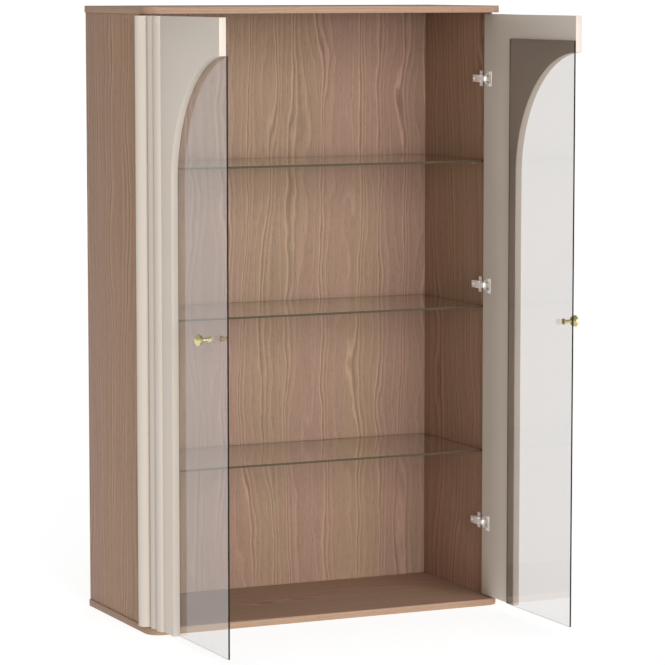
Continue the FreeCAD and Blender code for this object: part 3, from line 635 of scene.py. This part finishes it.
standOff = {"shank": 0.002, "tube": 0.007, "head": 0.004, "hair": 0.0001, "sides": 48}
for side, toward in (("left", 1), ("right", -1)):
    knob = copyOfNode(side + "_knob", side + "Knob")
    settle(knob, side + "_door", "brass", [side + "_knob"], brass)
    nodeNames = [side + name for name in ("_knob_spacer", "_knob_washers", "_knob_screw")]
    spacerBox, washerBox, screwBox, paneBox = (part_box(n) for n in nodeNames + [side + "_door_glass"])
    (seat, _), (_, washerEnd), (tip, headEnd), (outer, inner) = (
        sorted((toward * box[0].x, toward * box[1].x)) for box in (spacerBox, washerBox, screwBox, paneBox))
    shank, tube, head, hair = (standOff[n] for n in ("shank", "tube", "head", "hair"))
    clear, behind = (turned(side + "KnobStandOff", steps, standOff["sides"]) for steps in (
        ((tip, shank), (seat + hair, shank), (seat + hair, tube), (outer - hair, tube)),
        ((inner + hair, tube), (washerEnd, tube), (washerEnd, head), (headEnd, head))))
    alone(clear)
    behind.select_set(True)
    bpy.ops.object.join()
    middle = (spacerBox[0] + spacerBox[1]) / 2
    laid = Vector((toward, 0, 0)).to_track_quat("Z", "Y").to_matrix().to_4x4()
    clear.data.transform(Matrix.Translation((0, middle.y, middle.z)) @ laid)
    settle(clear, side + "_door", "clear_plastic", nodeNames, clearPlastic)
print("knobs done")


# nodes that keep their own shape get their finish

finishes = {
    nickel: ("left_hinge_pins", "right_hinge_pins"),
    zinc: ("top_panel_screws",),
    clearPlastic: ("shelf_pads",),
    brownPlastic: ("top_screw_caps", "shelf_pins"),
    beech: ("top_dowels", "base_dowels"),
}
for material, nodeNames in finishes.items():
    for nodeName in nodeNames:
        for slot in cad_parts[nodeName].material_slots:
            slot.material = material
print("finishes done")


# stage: pale floor, soft light from the front and all round

stage = {"floorHalf": 300.0, "floorDrop": 0.0005, "floorColour": "#B4B4B4", "floorRough": 0.9,
         "floorGlow": 0.78, "sky": 0.48,
         "sunPlace": (0, -6, 2), "sunTurn": -4.0, "sunHeight": 10.0, "sunSpread": 36.0, "sunPower": 1.75,
         "boxPlace": (0, -12, 1.2), "boxSize": (6.0, 2.4), "boxPower": 505.0}
bpy.ops.object.select_all(action="DESELECT")
bpy.ops.mesh.primitive_plane_add(size=2 * stage["floorHalf"], location=(0, 0, -stage["floorDrop"]))
floor = bpy.context.object
floor.name = "paleFloor"

# Matt backdrop paper: no gloss, and a glow of its own that keeps it as white as a cut-out.
paleFloor, tree, output, where = newMaterial("palePaperFloor")
shader = addNode(tree, "BsdfPrincipled", inputs={
    "Base Color": linear(stage["floorColour"]), "Roughness": stage["floorRough"], "Specular IOR Level": 0.0,
    "Emission Color": (1, 1, 1, 1), "Emission Strength": stage["floorGlow"]})
tree.links.new(shader.outputs[0], output.inputs["Surface"])
floor.data.materials.append(paleFloor)

scene = bpy.context.scene
scene.world = bpy.data.worlds.new("studio")
scene.world.use_nodes = True
sky = scene.world.node_tree.nodes["Background"]
sky.inputs["Color"].default_value = (1, 1, 1, 1)
sky.inputs["Strength"].default_value = stage["sky"]
scene.view_settings.view_transform = "Standard"

bpy.ops.object.light_add(type="SUN", location=stage["sunPlace"], rotation=(
    math.radians(90 - stage["sunHeight"]), 0, math.radians(stage["sunTurn"])))
sun = bpy.context.object
sun.name = "frontSoftLight"
sun.data.angle = math.radians(stage["sunSpread"])
sun.data.energy = stage["sunPower"]

bpy.ops.object.light_add(type="AREA", location=stage["boxPlace"], rotation=(math.pi / 2, 0, 0))
softbox = bpy.context.object
softbox.name = "lowSoftbox"                 # reaches up under the top board
softbox.data.shape = "RECTANGLE"
softbox.data.size, softbox.data.size_y = stage["boxSize"]
softbox.data.energy = stage["boxPower"]
print("floor and lights done")


# camera at the photograph's angle

view = {"place": (-3.05612, -6.8292, 1.47877), "down": 6.276, "toRight": 24.792, "lens": 171.853,
        "sensor": 36, "far": 2000}
bpy.ops.object.camera_add(location=view["place"], rotation=(
    math.radians(90 - view["down"]), 0, -math.radians(view["toRight"])))
camera = bpy.context.object
camera.data.lens = view["lens"]
camera.data.sensor_width = view["sensor"]
camera.data.clip_end = view["far"]
scene.camera = camera

print("scene done")
